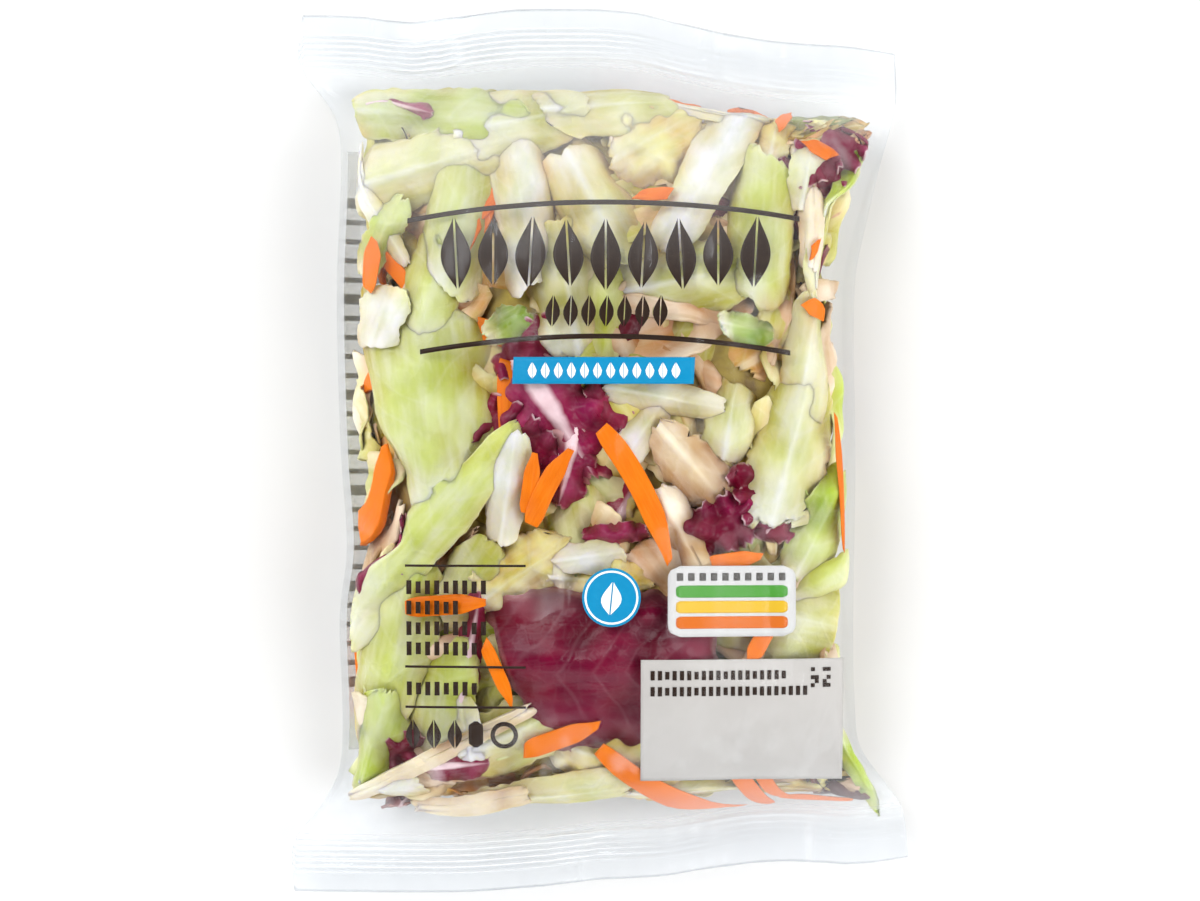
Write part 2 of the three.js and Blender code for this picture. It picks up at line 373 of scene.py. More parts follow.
def leaf_point(leaf, kind, s, t):
    """Along, across and depth of one point of a leaf, from -1..1 along and across it."""
    half_length, half_width = leaf.length / 2, leaf.width / 2
    edge = torn_edge(kind, s, t, leaf.seed, leaf.ragged) * (1 + leaf.taper * s)
    ends = 0.1 * noise.noise((t * 1.6, s * 0.8, leaf.seed + 3))
    ends += leaf.ragged * 0.14 * noise.noise((t * 5, s, leaf.seed + 4))
    flat_along = s * half_length * (1 + ends)
    flat_across = t * half_width * edge
    flat_along += leaf.skew * flat_across * abs(s)
    along, drop_along = rolled(flat_along, half_length, leaf.bend)
    across, drop_across = rolled(flat_across, half_width, leaf.roll)
    ripple = math.sin(flat_along * math.tau / kind["wave"] + leaf.seed + (2.1 if t > 0 else 0))
    ruffle = kind["ruffle"] * leaf.curly * abs(t) ** 1.6 * (1 - ripple)
    wander = FOLD_DEPTH[0] + FOLD_DEPTH[1] * fold_at(leaf, flat_along, flat_across)
    fine = (flat_along / CRINKLE_SIZE, flat_across / CRINKLE_SIZE, leaf.seed + 9)
    crinkle = kind["crinkle"] * (0.5 + noise.noise(fine))
    lengthways = (flat_across / PLEAT_SIZE[0], flat_along / PLEAT_SIZE[1], leaf.seed + 13)
    pleat = kind["pleat"] * (0.7 + 1.5 * noise.noise(lengthways))
    middle_rib = kind["rib"] * rib_share(kind, s, t)
    tilt = leaf.tilt * (1 + t * math.cos(leaf.seed) + s * math.sin(leaf.seed)) / 2
    depth = drop_along + drop_across + ruffle + wander + crinkle + pleat + tilt - middle_rib
    return along, across, leaf.depth + max(depth, 0.0), flat_along, flat_across


def rib_share(kind, s, t):
    """How much of the middle rib there is: wide at the base of a leaf and thin at its tip."""
    width = (0.05 + 0.11 * (1 - s) / 2) * kind.get("rib_width", 1.0)
    return math.exp(-((t / width) ** 2)) * (RIB_AT_TIP + (1 - RIB_AT_TIP) * (1 - s) / 2)


def leaf_tint(leaf, kind, s, t, flat_along, flat_across, depth):
    """Pale at the foot, greener or darker at the tip and sides, with painted shade: greener where the folds
    lie deeper, and warm and darker deeper in the bag.
    """
    patch = noise.noise((flat_along / 15, flat_across / 11, leaf.seed + 20))
    fold = fold_at(leaf, flat_along, flat_across)
    # the fold term leans the tint to the kind's edge colour where the folds lie deeper: painted shade in the
    # folds; the sides lean that way as each kind's own colour, and for the cream pieces also as painted shade
    share = leaf.shade + 0.25 * s + 0.4 * abs(t) ** 1.6 + 0.5 * patch + 0.9 * fold
    tint = mixed(kind["base"], kind["edge"], clamp(share, 0, 1))
    pale_foot = clamp((-0.45 - s) * 1.3 + 0.5 * patch, 0, 0.7)
    cut = max(abs(s), abs(t)) > CUT_EDGE
    white = PINK_RIB if leaf.kind in REDS else WHITE_RIB
    tint = mixed(tint, white, kind.get("cut", 0.2) if cut else pale_foot * kind.get("foot", 1.0))
    # painted shade: the deeper a point lies, the more its tint is darkened and warmed, as if lit through the
    # leaves above
    painted_shade = tuple(a * b for a, b in zip(tint, PAINTED_WARM_SHADE))
    return mixed(tint, painted_shade, clamp(0.8 * (depth - CLEAR_DEPTH) / SHADE_DEPTH, 0, 0.85))


def lay_leaf(pieces, leaf, cells):
    """Lays one leaf with its middle at a place on the film and its length turned as given."""
    kind = KINDS[leaf.kind]
    grid = bmesh.ops.create_grid(pieces.bm, x_segments=cells[0], y_segments=cells[1], size=1.0)
    for vertex in grid["verts"]:
        t, s = vertex.co.x, vertex.co.y
        along, across, depth, flat_along, flat_across = leaf_point(leaf, kind, s, t)
        tint = leaf_tint(leaf, kind, s, t, flat_along, flat_across, depth)
        rib = rib_share(kind, s, t) * min(kind["rib"], 1.0)
        pieces.mark(vertex, tint, rib, (flat_across, flat_along, leaf.seed))
        vertex.co = leaf.put(along, across, depth)


def stick_point(stick, corner):
    """Along, across and depth of one corner of a carrot stick, from -1..1 each way."""
    s, t, up = corner
    along = s * stick.length / 2 + t * stick.slant * abs(s) ** 8
    taper = 1 - 0.6 * smooth(0.3, 1.0, s * stick.taper) - 0.25 * smooth(0.7, 1.0, -s * stick.taper)
    across = t * stick.width / 2 * taper + stick.bend * (1 - s * s) * 2
    wobble = 0.15 * noise.noise((s * 4, t, stick.seed))
    depth = stick.depth + (1 - up) / 2 * stick.thickness * taper + wobble + 0.3
    return along, across, depth


STICK_CUTS = 12
STICK_THICKEST = 2.6


def plain_stick():
    """A bar from -1 to 1 each way, cut along its length, with rounded edges."""
    bm = bmesh.new()
    bmesh.ops.create_cube(bm, size=2.0)
    lengthways = [e for e in bm.edges if abs((e.verts[0].co - e.verts[1].co).x) > 1]
    bmesh.ops.subdivide_edges(bm, edges=lengthways, cuts=STICK_CUTS, use_grid_fill=True)
    sharp = [e for e in bm.edges if e.calc_face_angle(0) > 1]
    bmesh.ops.bevel(
        bm, geom=sharp, offset=0.3, offset_type="OFFSET", affect="EDGES",
        segments=2, profile=0.5, material=-1, clamp_overlap=True,
    )
    return mesh_of("plain_stick", bm)


PLAIN_STICK = plain_stick()


def lay_stick(pieces, stick):
    """A carrot stick: the plain stick, sized, slanted and bent, and laid in its place."""
    before = len(pieces.bm.verts)
    pieces.bm.from_mesh(PLAIN_STICK)
    pieces.bm.verts.ensure_lookup_table()
    for vertex in pieces.bm.verts[before:]:
        s, t, up = vertex.co
        along, across, depth = stick_point(stick, (s, t, up))
        grain = noise.noise((s * 2, t * 3, stick.seed + 4))
        tint = mixed(CARROT, CARROT_DEEP, clamp(stick.shade + 0.5 * grain, 0, 1))
        # painted highlight: paler along the middle of the stick and on its upper side
        tint = mixed(tint, CARROT_PALE_AND_HIGHLIGHT, clamp(0.25 * (1 - abs(t) * 1.6) + 0.1 * up, 0, 1))
        pieces.mark(vertex, tint, 0.0, (across, along, stick.seed))
        vertex.co = stick.put(along, across, depth)


def on_front(x, y, turn, strays=0.0):
    """Lays a piece under the front film, seen from above; it may stray past the edge of the rest."""
    cosine, sine = math.cos(math.radians(turn)), math.sin(math.radians(turn))
    side_clear = draws.uniform(*SIDE_CLEAR) - strays

    def put(along, across, depth):
        px = x + along * cosine - across * sine
        py = y + along * sine + across * cosine
        return under_front(px, py, depth, side_clear)

    return put


def on_skin(point, normal, turn):
    """Lays a piece against the film at any point of the pouch."""
    ahead = normal.orthogonal().normalized()
    aside = normal.cross(ahead)
    length_way = ahead * math.cos(turn) + aside * math.sin(turn)
    width_way = normal.cross(length_way)
    side_clear = draws.uniform(*SIDE_CLEAR)

    def put(along, across, depth):
        flat = point + length_way * along * MM + width_way * across * MM
        return under_skin(flat, depth, side_clear)

    return put


def shown(kind, x, y, length, width, turn, strays=0.0, **how):
    """A leaf that shows in front, by its kind, middle, length, width, turn and how it curls."""
    settings = dict(
        roll=0.6, bend=0.3, depth=0.0, shade=0.2, curly=1.0, tilt=2.0, taper=0.0, ragged=0.25,
        skew=draws.uniform(-0.6, 0.6),
    )
    settings.update(how)
    return SimpleNamespace(
        kind=kind, length=length, width=width, seed=draws.uniform(0, 90),
        put=on_front(x, y, turn, strays), **settings,
    )


def shown_stick(x, y, length, width, turn, depth=0.2, bend=0.0):
    """A carrot stick that shows in front, by its middle, length, width and turn."""
    return SimpleNamespace(
        length=length, width=width, thickness=min(width, STICK_THICKEST), depth=depth, bend=bend,
        slant=draws.uniform(-1.4, 1.4), taper=draws.choice((-1, 1)), shade=draws.uniform(0.1, 0.6),
        seed=draws.uniform(0, 90), put=on_front(x, y, turn),
    )


def front_leaves():
    return [
        # Upper part, from left to right
        shown("green", -40, 83, 46, 17, -6, roll=0.6, shade=-0.1, curly=1.3, depth=0.5, ragged=0.6),
        shown("curly", -50, 87, 18, 7, -20, roll=0.9, tilt=0.4, ragged=1.0),
        shown("pale", -45, 70, 40, 20, 16, roll=0.9, depth=1.3, shade=-0.1),
        shown("white", -57, 61, 36, 5, -58, roll=0.8, bend=0.6, depth=0.6),
        shown("lime", -35, 57, 36, 24, 82, roll=2.9, depth=0.2, shade=-0.1),
        shown("white", -19, 60, 40, 19, 99, roll=2.6, depth=0.3),
        shown("pale", -1, 60, 32, 24, -62, roll=2.7, depth=0.7, shade=-0.1),
        shown("heart", 14, 78, 26, 25, 30, roll=1.1, bend=0.8, ragged=0.8),
        shown("heart", 44, 81, 20, 9, 78, roll=1.2, depth=0.4, ragged=0.6),
        shown("heart", 52, 81, 18, 11, 64, roll=1.0, depth=1.2, shade=-0.2),
        shown("white", 27, 69, 46, 13, 62, roll=1.0, depth=0.1),
        shown("lime", 40, 55, 38, 20, 84, roll=2.2, depth=0.2, shade=-0.2),
        shown("pale", 51, 67, 16, 10, 80, roll=1.4, depth=0.3, shade=-0.2),
        shown("cream", 52, 55, 20, 6, 88, roll=1.2, depth=0.5, shade=-0.1),
        shown("pale", 57, 51, 22, 9, 80, roll=1.2, depth=0.9, shade=0.2),
        shown("pale", -20, 82, 34, 18, 12, roll=1.2, depth=1.4),
        shown("pale", 2, 86, 34, 16, 4, roll=1.0, depth=1.2),
        shown("white", 30, 88, 26, 12, -10, roll=1.0, depth=1.0),
        shown("ruffled", 58, 76, 24, 18, 62, roll=-0.8, depth=-1.6, shade=0.2, tilt=0.4, ragged=1.0),
        shown("ruffled", 52, 71, 16, 10, 20, roll=-0.8, depth=-1.2, shade=0.0, tilt=0.4, ragged=1.0),
        shown("green", 65, 67, 20, 13, 70, roll=0.7, depth=0.5, shade=0.3),
        shown("pale", 56, 42, 18, 10, 100, roll=1.0, depth=0.8, shade=-0.1),
        shown("pale", 20, 42, 30, 20, 12, roll=1.4, depth=0.9),
        shown("green", -54, 53, 22, 9, 62, roll=1.0, depth=0.9, ragged=0.6),
        shown("lime", -42, 40, 26, 16, 78, roll=1.6, depth=1.4, shade=0.1),
        shown("pale", -8, 40, 34, 20, 100, roll=1.5, depth=1.8, shade=0.2),
        shown("dark", -23, 31, 12, 9, 30, roll=1.0, depth=0.3, ragged=0.6),
        shown("dark", 36, 30, 14, 8, -14, roll=1.2, depth=0.3, ragged=0.6),
        shown("white", -54, 33, 16, 13, 68, roll=0.7, bend=0.6, depth=0.1),
        # Middle, from left to right
        shown("lime", -43, 9, 60, 38, 97, roll=1.3, bend=0.5, shade=0.0, taper=0.45, tilt=1.0),
        shown("lime", -42, -20, 70, 14, 49, roll=1.2, depth=-0.4, shade=-0.1, taper=-0.3, tilt=1.0),
        shown("ruffled", -54, -26, 24, 14, 58, roll=-0.8, depth=-1.4, tilt=0.4, shade=0.1, ragged=1.0),
        shown("white", -22.5, -9, 28, 11, 82, roll=1.6, depth=0.4, shade=0.2),
        shown("curly", -8, -4, 20, 14, -102, roll=1.4, bend=0.8, depth=-0.6, shade=0.2, ragged=0.8),
        shown("ruffled", -21, 3, 25, 14, -36, roll=-1.0, depth=-1.0, shade=0.3, ragged=1.0),
        shown("curly", -11, 9, 38, 26, -58, roll=0.9, bend=0.7, depth=-0.4, shade=0.0, ragged=0.8),
        shown("ruffled", -15, 25, 24, 15, 12, roll=-0.9, bend=0.8, depth=0.0, shade=0.5, ragged=0.8),
        shown("ruffled", 1, 13, 24, 9, -62, roll=-0.8, depth=1.2, shade=0.5, ragged=0.8),
        shown("white", 16, 13, 30, 9, -10, roll=1.8, depth=1.1, shade=0.3),
        shown("white", 10, 4, 18, 11, 56, roll=2.2, depth=0.3, shade=-0.2),
        shown("cream", 22, -3, 24, 13, -50, roll=1.5, bend=0.8, depth=0.2, shade=1.0, ragged=1.0, taper=0.35),
        shown("cream", 20, -20, 24, 8, -62, roll=1.6, depth=0.5, shade=0.6, taper=-0.4, ragged=0.5),
        shown("pale", 32, 7, 20, 17, 80, roll=2.6, bend=1.2, depth=0.6, shade=0.3),
        shown("pale", 47, 0, 38, 22, 75, roll=1.4, depth=0.4, shade=0.1, ragged=1.0, taper=-0.1),
        shown("pale", 51, 21, 36, 15, 80, roll=1.9, depth=0.6, shade=0.0),
        shown("ruffled", 30, -18, 23, 15, 24, roll=-1.1, depth=-1.4, tilt=0.4, shade=0.2, ragged=1.0),
        shown("ruffled", 40, -13, 21, 12, -66, roll=-1.1, depth=-1.4, tilt=0.4, shade=0.0, ragged=1.0),
        shown("green", 55, -18, 30, 13, 62, roll=1.0, depth=0.6, shade=0.3),
        shown("lime", 57, -31, 24, 8, 24, roll=1.3, depth=0.2, shade=0.1),
        shown("ruffled", 4, -20.5, 16, 6, 6, roll=-0.8, shade=0.4, tilt=0.4, ragged=0.6),
        shown("white", -3, -26, 18, 8, 8, roll=1.2, depth=0.8),
        shown("lime", -32, -33, 24, 16, 60, roll=1.4, depth=2.0, shade=0.1),
        shown("heart", -19, -30, 28, 17, 34, roll=1.3, depth=0.8, shade=0.0, ragged=0.8),
        shown("heart", 0, -32, 26, 11, -4, roll=0.9, depth=1.6, shade=0.1),
        # Lower part, from left to right
        shown("red", 4, -54, 54, 38, 3, roll=0.5, bend=0.35, shade=0.0, curly=0.5, tilt=1.0, skew=-0.32),
        shown("curly", -32, -49, 28, 8, 80, roll=1.5, depth=0.3, shade=-0.1, skew=0.3),
        shown("lime", -51, -50, 46, 20, 76, roll=1.4, depth=0.7, shade=0.2),
        shown("lime", -38, -62, 30, 16, 84, roll=1.2, depth=1.4, shade=0.3),
        shown("green", -57, -74, 30, 16, 72, roll=1.4, depth=0.3, shade=-0.2, ragged=1.0, curly=1.6),
        shown("pale", 42, -40, 38, 24, -12, roll=1.1, depth=0.9, shade=0.2),
        shown("pale", -20, -69, 34, 18, 24, roll=1.2, depth=1.0),
        shown("white", -33, -70, 18, 9, 100, roll=1.4, depth=0.7),
        shown("pale", 44, -66, 46, 26, 6, roll=1.0, depth=1.0),
        shown("heart", 6, -78, 36, 16, -18, roll=1.4, depth=0.8, shade=-0.4, ragged=0.5),
        shown("ruffled", -50, -75, 15, 9, 36, roll=-0.8, depth=0.4, shade=0.0),
        shown("curly", -36, -78, 17, 9, 4, roll=1.2, depth=0.6, shade=0.7),
        shown("green", 65, -80, 27, 6, -59, strays=3.0, roll=1.0, depth=0.2, shade=0.6, tilt=0.4),
        shown("cabbage", -40, -75, 52, 3.6, 27, roll=0.8, bend=0.2),
        shown("white", -54, -87, 21, 11, 20, roll=1.2, depth=0.2, shade=-0.2),
        shown("cabbage", -32, -88, 28, 5, 10, roll=0.7, depth=0.3),
        shown("pale", -14, -87, 44, 12, 9, roll=1.0, depth=0.4, shade=-0.2, ragged=0.5),
        shown("heart", 52, -87, 26, 13, -8, roll=0.8, depth=0.9, shade=-0.2),
        shown("pale", 28, -89, 44, 13, -6, roll=0.8, depth=1.2, shade=-0.2),
    ]


def front_sticks():
    return [
        shown_stick(8.7, -11, 37, 5.6, -63, bend=1.0),
        shown_stick(-12, -9, 21, 5.0, 62, bend=0.5, depth=0.6),
        shown_stick(-17, -8, 15, 4.0, 82, depth=0.9),
        shown_stick(60.5, -8, 34, 2.6, -83),
        shown_stick(18, -83, 41, 5.4, -27, bend=-1.6),
        shown_stick(37, -85, 20, 4.3, -52, bend=0.3),
        shown_stick(54, -89.5, 19, 4.6, -12),
        shown_stick(-9.5, -71, 20, 5.0, 20, depth=0.9),
        shown_stick(-25, -55, 17, 3.4, -66, depth=0.7),
        shown_stick(-38, -38, 20, 5.0, 4, depth=0.9),
        shown_stick(-57, 46, 13, 5.0, 80),
        shown_stick(13, 63, 9, 3.2, 6),
        shown_stick(54, 35, 8, 4.6, -20, depth=0.3),
        shown_stick(55, 50, 6, 3.6, 30, depth=0.3),
        shown_stick(39, -48, 10, 4.4, 62),
        shown_stick(46, 83, 6, 3.0, 55, depth=0.2),
        shown_stick(54.5, 75, 8, 3.6, -30, depth=0.4),
        shown_stick(33, -27, 14, 4.0, 8, depth=1.6),
        shown_stick(43.5, -86, 18, 3.6, -58),
    ]


# The filling, by layers: how many pieces, how deep they lie, how large they are, how finely
# each is cut up, and whether they lie only under the front
FRONT_ROOM = 4.2  # that the pieces in front take under the front film
LAYERS = [
    dict(count=70, depth=(-1.2, 1.4), length=(28, 48), width=(13, 24), cells=(11, 18), front=True),
    dict(count=190, depth=(0.4, 2.6), length=(20, 38), width=(10, 19), cells=(9, 14), front=False),
    dict(count=220, depth=(3.0, 7.0), length=(20, 40), width=(11, 20), cells=(7, 11), front=False),
    dict(count=130, depth=(7.5, 10.5), length=(26, 44), width=(14, 24), cells=(6, 9), front=False),
]
MIX = dict(
    pale=28, lime=16, white=11, cream=8, green=13, heart=8, cabbage=6, red=3, curly=3, dark=1, stick=7,
)
STICK_WIDTH = (3.2, 6.2)
SHRED_WIDTH = (3, 6.5)
POUCH_HALF = (64, 91)
MID_HEIGHT = 22


def skin_point(front):
    """A random point of the pouch's surface, or of its front, with the outward normal."""
    while True:
        away = Vector([draws.gauss(0, 1) for _ in range(3)]).normalized()
        x, y = (draws.uniform(-1, 1) * half for half in POUCH_HALF)
        start = Vector((x, y, MID_HEIGHT)) * MM
        spot, normal, _, _ = SHAPE_TREE.ray_cast(start, away)
        if spot and abs(spot.y) < POUCH_HALF[1] * MM and (normal.z > 0.7 or not front):
            return spot, normal


def filling(layer):
    """Random pieces of one layer, each against the film at a random point of the pouch."""
    for _ in range(layer["count"]):
        name = draws.choices(list(MIX), MIX.values())[0]
        spot, normal = skin_point(layer["front"])
        put = on_skin(spot, normal, draws.uniform(0, math.tau))
        depth = draws.uniform(*layer["depth"]) + FRONT_ROOM * smooth(0.2, 0.7, normal.z)
        common = dict(
            kind=name, put=put, seed=draws.uniform(0, 90), depth=depth,
            length=draws.uniform(*layer["length"]), shade=draws.uniform(-0.1, 0.7),
        )
        if name == "stick":
            width = draws.uniform(*STICK_WIDTH)
            yield SimpleNamespace(
                width=width, thickness=min(width, STICK_THICKEST), bend=draws.uniform(-1, 1),
                slant=draws.uniform(-1.4, 1.4), taper=draws.choice((-1, 1)), **common,
            )
            continue
        width = draws.uniform(*(SHRED_WIDTH if name == "cabbage" else layer["width"]))
        yield SimpleNamespace(
            width=width, roll=draws.uniform(-1.2, 2.2), bend=draws.uniform(-0.5, 0.9),
            curly=draws.uniform(0.5, 1.2), tilt=draws.uniform(0.5, 4.0),
            taper=draws.uniform(-0.35, 0.35), skew=draws.uniform(-0.8, 0.8),
            ragged=draws.uniform(0, 0.8), **common,
        )


# Finishes

class Finish:
    """A material and the few node steps that the finishes are put together from."""

    def __init__(self, name):
        self.material = bpy.data.materials.new(name)
        self.material.use_nodes = True
        self.nodes = self.material.node_tree.nodes
        self.links = self.material.node_tree.links
        self.nodes.clear()
        self.output = self.nodes.new("ShaderNodeOutputMaterial")

    def add(self, node_type, inputs=None, **settings):
        node = self.nodes.new(node_type)
        for key, value in settings.items():
            setattr(node, key, value)
        for key, value in (inputs or {}).items():
            if isinstance(value, bpy.types.NodeSocket):
                self.links.new(value, node.inputs[key])
            else:
                node.inputs[key].default_value = value
        return node

    def math(self, operation, a, b=0.0, limit=False):
        return self.add("ShaderNodeMath", {0: a, 1: b}, operation=operation, use_clamp=limit).outputs[0]

    def blend(self, share, a, b):
        node = self.add("ShaderNodeMix", data_type="RGBA")
        for socket, value in ((node.inputs[0], share), (node.inputs[6], a), (node.inputs[7], b)):
            if isinstance(value, bpy.types.NodeSocket):
                self.links.new(value, socket)
            else:
                socket.default_value = value if isinstance(value, float) else (*value, 1.0)
        return node.outputs[2]

    def read(self, name, output="Fac"):
        """What the vertices hold under a name."""
        return self.add("ShaderNodeAttribute", attribute_name=name).outputs[output]

    def stretched(self, vector, *scale):
        return self.add("ShaderNodeMapping", {"Vector": vector, "Scale": scale}).outputs[0]

    def speckle(self, scale, detail=3.0, vector=None):
        """Noise on Object coordinates, in patches of about one over scale metres."""
        source = vector or self.add("ShaderNodeTexCoord").outputs["Object"]
        node = self.add("ShaderNodeTexNoise", {"Vector": source, "Scale": scale, "Detail": detail})
        return node.outputs["Fac"]

    def spread(self, value, low, high, new_low, new_high):
        inputs = {0: value, 1: low, 2: high, 3: new_low, 4: new_high}
        return self.add("ShaderNodeMapRange", inputs).outputs[0]

    def bump(self, height, distance, strength=1.0):
        inputs = {"Height": height, "Distance": distance, "Strength": strength}
        return self.add("ShaderNodeBump", inputs).outputs["Normal"]

    def surface(self, shader):
        self.links.new(shader, self.output.inputs["Surface"])
        return self.material


# Veins of a leaf, in millimetres: side veins that slant up from the middle, and a net between them
VEIN_SLANT = 0.85
VEIN_PITCH = 10
VEIN_SHARPNESS = 22.0
NET_SCALE = 0.33  # cells of the net to the millimetre


def leaf_finish(name, pale, streak_share, rib_edge, vein_share, shadow, roughness, subsurface):
    """A moist leaf: its own tint with long pale streaks, ribs, fine veins and small blisters."""
    finish = Finish(name)
    tint = finish.read("tint", "Color")
    rib = finish.read("rib")
    place = finish.read("place", "Vector")
    long_way = finish.stretched(place, 0.34, 0.05, 1.0)
    broad_way = finish.stretched(place, 0.12, 0.07, 1.0)
    streaks = finish.math("MULTIPLY", finish.speckle(1.0, 3.0, long_way), 0.55)
    patches = finish.math("MULTIPLY", finish.speckle(1.0, 2.0, broad_way), 0.45)
    streaked = finish.spread(finish.math("ADD", streaks, patches), 0.42, 0.62, 0.0, streak_share)
    split = finish.add("ShaderNodeSeparateXYZ", {0: place})
    across = finish.math("ABSOLUTE", split.outputs[0])
    wander = finish.spread(finish.speckle(45.0, 1.0), 0.0, 1.0, -4.0, 4.0)
    rise = finish.math("SUBTRACT", split.outputs[1], finish.math("MULTIPLY", across, VEIN_SLANT))
    phase = finish.math("ADD", finish.math("MULTIPLY", rise, math.tau / VEIN_PITCH), wander)
    vein = finish.spread(finish.math("SINE", phase), -1.0, 1.0, 0.0, 1.0)
    vein = finish.math("POWER", vein, VEIN_SHARPNESS)
    cells = finish.add(
        "ShaderNodeTexVoronoi", {"Vector": place, "Scale": NET_SCALE},
        feature="DISTANCE_TO_EDGE", voronoi_dimensions="2D",
    ).outputs["Distance"]
    net = finish.spread(cells, 0.0, 0.14, 1.0, 0.0)
    lines = finish.math("MAXIMUM", vein, finish.math("MULTIPLY", net, 0.4))
    mottle = finish.spread(finish.speckle(1.6, 3.0, broad_way), 0.38, 0.68, 0.0, 0.9)
    colour = finish.blend(mottle, tint, finish.blend(0.45, tint, shadow))
    colour = finish.blend(streaked, colour, pale)
    colour = finish.blend(finish.spread(rib, *rib_edge, 0.0, 0.85), colour, pale)
    colour = finish.blend(finish.math("MULTIPLY", lines, vein_share), colour, pale)
    height = finish.math("ADD", finish.math("MULTIPLY", lines, 0.35), finish.speckle(480.0, 2.0))
    height = finish.math("ADD", height, finish.speckle(1.3, 2.0, long_way))
    gloss = finish.spread(streaks, 0.16, 0.38, roughness - 0.08, roughness + 0.14)
    shader = finish.add(
        "ShaderNodeBsdfPrincipled",
        {
            "Base Color": colour, "Roughness": gloss, "Normal": finish.bump(height, 0.0005, 0.4),
            "Subsurface Weight": subsurface, "Subsurface Radius": (1.0, 0.9, 0.35),
            "Subsurface Scale": 0.003, "Specular IOR Level": 0.16,
        },
    )
    return finish.surface(shader.outputs[0])


def carrot_finish():
    """Cut carrot: fine grain along the stick, and wet."""
    finish = Finish("cut carrot")
    tint = finish.read("tint", "Color")
    place = finish.read("place", "Vector")
    grain = finish.speckle(1.6, 5.0, finish.stretched(place, 1.4, 0.12, 1.0))
    colour = finish.blend(finish.spread(grain, 0.35, 0.7, 0.0, 0.3), tint, CARROT_PALE_AND_HIGHLIGHT)
    height = finish.math("ADD", grain, finish.math("MULTIPLY", finish.speckle(900.0), 0.3))
    shader = finish.add(
        "ShaderNodeBsdfPrincipled",
        {
            "Base Color": colour, "Roughness": finish.spread(grain, 0.3, 0.7, 0.3, 0.5),
            "Normal": finish.bump(height, 0.0002, 0.5), "Specular IOR Level": 0.16,
        },
    )
    return finish.surface(shader.outputs[0])


def core_finish():
    """The leaves deep in the bag, in painted shade: dark olive yellow, with painted light and shade in folds
    and dark gaps.
    """
    finish = Finish("packed leaves in shade")
    folds = finish.speckle(120.0, 6.0)
    painted_light_share = finish.spread(folds, 0.35, 0.65, 0.0, 1.0)
    # painted shade: the core stands in for leaves deep in the bag, in dark olive colours, lighter and darker
    # in noise patches as if in lit folds and shaded gaps
    colour = finish.blend(painted_light_share, linear("6e5418"), linear("b59f44"))
    shader = finish.add(
        "ShaderNodeBsdfPrincipled",
        {"Base Color": colour, "Roughness": finish.spread(folds, 0.3, 0.7, 0.45, 0.7),
         "Normal": finish.bump(folds, 0.002, 0.8)},
    )
    return finish.surface(shader.outputs[0])


